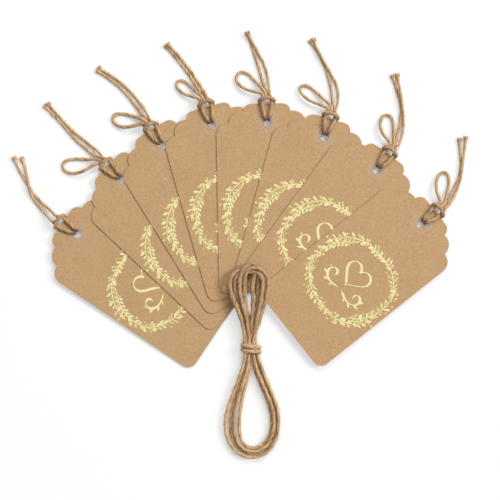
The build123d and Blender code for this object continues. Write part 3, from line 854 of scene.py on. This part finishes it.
def penned(line):
    # broad nib: wide where the stroke crosses the nib's angle, thin along it
    heading = np.gradient(line, axis=0)
    turn = np.arctan2(heading[:, 1], heading[:, 0]) - pen["angle"]
    thin, thick = pen["nib"]
    order = np.arange(len(line))
    ends = np.clip(np.minimum(order, order[::-1]) / pen["taperRun"], pen["taperLeast"], 1)
    return penGrid(line, (thin + (thick - thin) * np.abs(np.sin(turn)) ** pen["power"]) * ends)


def gridFaces(grid, first):
    # a quad between each two rows and each two columns of points
    count, rows, columns = grid.shape[:3]
    index = first + np.arange(count * rows * columns).reshape(count, rows, columns)
    corners = [index[:, :-1, :-1], index[:, 1:, :-1], index[:, 1:, 1:], index[:, :-1, 1:]]
    return np.stack(corners, -1).reshape(-1, 4)


def sprigStem(t, begin, span, drift):
    # an arc of the ring that drifts across it: its points and its headings
    angle = begin + span * t
    radius = wreath["ring"] + drift * (2 * t - 1)
    return facing(angle) * radius[:, None], angle + math.pi / 2


def wreathGrids(rng):
    # sprigs round the ring: a stem, leaves in pairs along it, now and then a berry on a short stalk
    grids = []
    pairs = wreath["leafPairs"]
    count = 2 * pairs
    for sprig in range(wreath["sprigs"]):
        shift = rng.uniform(-wreath["sprigShift"], wreath["sprigShift"])
        begin = math.radians(360 * sprig / wreath["sprigs"] + shift + wreath["firstSprig"])
        span = math.radians(wreath["span"] + rng.uniform(-wreath["spanShift"], wreath["spanShift"]))
        drift = wreath["drift"] if sprig % 3 else -wreath["drift"]
        t = np.linspace(0, 1, wreath["stemPoints"])
        thin, swell, start, run = wreath["stemTaper"]
        half = wreath["stem"] * (thin + swell * np.sin(math.pi * (start + run * t)))
        grids.append(penGrid(sprigStem(t, begin, span, drift)[0], half))
        at = np.repeat(np.linspace(*wreath["leafRun"], pairs), 2) + np.tile([0.0, wreath["pairStep"]], pairs)
        at = at + rng.uniform(-wreath["leafShift"], wreath["leafShift"], count)
        side = np.tile([1.0, -1.0], pairs)
        base, ahead = sprigStem(at, begin, span, drift)
        least, more, power = wreath["swell"]
        size = least + more * np.sin(math.pi * np.clip(at, 0, 1)) ** power
        cluster = np.sin(at * wreath["clusters"] + sprig * wreath["clusterShift"])
        heading = ahead + side * rng.uniform(*wreath["leafSlant"], count)
        berry = (cluster > wreath["berryAbove"]) | (rng.random(count) < wreath["berryChance"])
        length = rng.uniform(*wreath["leafLength"], count) * size
        slim = np.where(cluster < wreath["slimBelow"], wreath["slim"], 1.0)
        half = rng.uniform(*wreath["leafWidth"], count) * size * slim
        bend = side * rng.uniform(*wreath["leafBend"], count)
        foot = base + facing(heading) * wreath["stalk"]
        grids.append(leafGrid(foot[~berry], heading[~berry], length[~berry], half[~berry], bend[~berry]))
        berries = int(berry.sum())
        if berries:
            stalk = rng.uniform(*wreath["berryStalk"], berries)
            stalkHalf = np.full(berries, wreath["berryStalkWidth"])
            grids.append(leafGrid(base[berry], heading[berry], stalk, stalkHalf, bend[berry]))
            ends = base[berry] + facing(heading[berry]) * stalk[:, None]
            radius = np.full(berries, wreath["berry"])
            grids.append(leafGrid(ends, heading[berry], 2 * radius, radius, np.zeros(berries)))
        # the sprig ends in one leaf
        tip, last = sprigStem(np.array([1.0]), begin, span, drift)
        long, wide = np.array(wreath["lastLeaf"])[:, None]
        grids.append(leafGrid(tip, last, long, wide, np.array([0.0])))
    return grids


def ornamentGrids():
    # heart: x = 16 sin^3 t, y = 13 cos t - 5 cos 2t - 2 cos 3t - cos 4t
    gap = ornament["heartGap"]
    t = np.linspace(math.pi + gap, 3 * math.pi - gap, ornament["heartPoints"])
    heart = np.column_stack([16 * np.sin(t) ** 3,
                             13 * np.cos(t) - 5 * np.cos(2 * t) - 2 * np.cos(3 * t) - np.cos(4 * t)])
    grids = [penned(heart * ornament["heart"] + ornament["heartAt"])]
    # scrolls: the heading grows with a power of the share of the stroke that is drawn
    drawn = np.linspace(0, 1, ornament["scrollPoints"])
    heading = ornament["scrollHeading"] + ornament["scrollTurn"] * drawn ** ornament["scrollPower"]
    scroll = np.cumsum(facing(heading) * ornament["scroll"] / len(drawn), axis=0) + ornament["scrollAt"]
    grids += [penned(scroll), penned(scroll[::-1] * (-1, 1))]
    # leaves on the outer side of each scroll
    at = np.array(ornament["leafAt"])
    half = np.full(len(at), ornament["leafWidth"])
    for way in (1, -1):
        turn = heading[at] - ornament["leafSlant"]
        turn = turn if way > 0 else math.pi - turn
        bend = np.full(len(at), ornament["leafBend"] * way)
        grids.append(leafGrid(scroll[at] * (way, 1), turn, np.array(ornament["leafLength"]), half, bend))
    return grids


foilGrids = wreathGrids(np.random.default_rng(foilPrint["seed"])) + ornamentGrids()
foilFaces, foilGlint, count = [], [], 0
glintRng = np.random.default_rng(foilPrint["toneSeed"])
for grid in foilGrids:
    foilFaces += gridFaces(grid, count).tolist()
    # each leaf and stroke gets its own painted brightness from deep to pale gold at random: painted
    # highlight on bright ones, painted shade on deep ones
    low = foilPrint["penLeastGlint"] if len(grid) == 1 else foilPrint["leafLeastGlint"]
    foilGlint.append(np.repeat(glintRng.uniform(low, 1.0, len(grid)), grid.shape[1] * grid.shape[2]))
    count += grid[..., 0].size
flatFoil = np.vstack([grid.reshape(-1, 2) for grid in foilGrids]) + foilPrint["centre"]
# each leaf lies a little higher than the one before it, so that none share a plane
flatFoil = np.column_stack([flatFoil, np.linspace(*foilPrint["height"], count)])
for number, tag in enumerate(tags, start=1):
    piece = addMesh(f"foilPrint_{number}", tag.world(flatFoil), foilFaces, finishes["foil"],
                    tone=np.concatenate(foilGlint), smooth=False)
    skin = piece.modifiers.new("skin", "SOLIDIFY")
    skin.thickness = foilPrint["thickness"] * mm
    skin.offset = -1
    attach(piece, f"tag_{number}")
print("foil stamped:", len(foilFaces), "faces a tag")


# table and light: a white sweep, soft lamps at the right and beyond the fan, even light all round
light = dict(
    around=0.350,
    lamps=(
        dict(place=(2.70, 0.67, 2.25), size=1.40, power=82.0),
        dict(place=(0.56, 2.32, 2.40), size=1.40, power=43.0),
    ),
)
table = addMesh("table", np.array([(-1, -1, 0), (1, -1, 0), (1, 1, 0), (-1, 1, 0)]) * tableTop["size"] / mm,
                [[0, 1, 2, 3]], finishes["table"])
for number, one in enumerate(light["lamps"], start=1):
    lampData = bpy.data.lights.new(f"lamp_{number}", "AREA")
    lampData.shape = "DISK"
    lampData.size = one["size"]
    lampData.energy = one["power"]
    lamp = bpy.data.objects.new(f"lamp_{number}", lampData)
    lamp.location = one["place"]
    aim = -np.array(one["place"]) / np.linalg.norm(one["place"])
    lamp.rotation_euler = (math.acos(-aim[2]), 0, math.atan2(aim[1], aim[0]) - math.pi / 2)
    scene.collection.objects.link(lamp)
world = bpy.data.worlds.new("world")
world.use_nodes = True
world.node_tree.nodes["Background"].inputs["Color"].default_value = colour(1, 1, 1)
world.node_tree.nodes["Background"].inputs["Strength"].default_value = light["around"]
scene.world = world
print("lit")
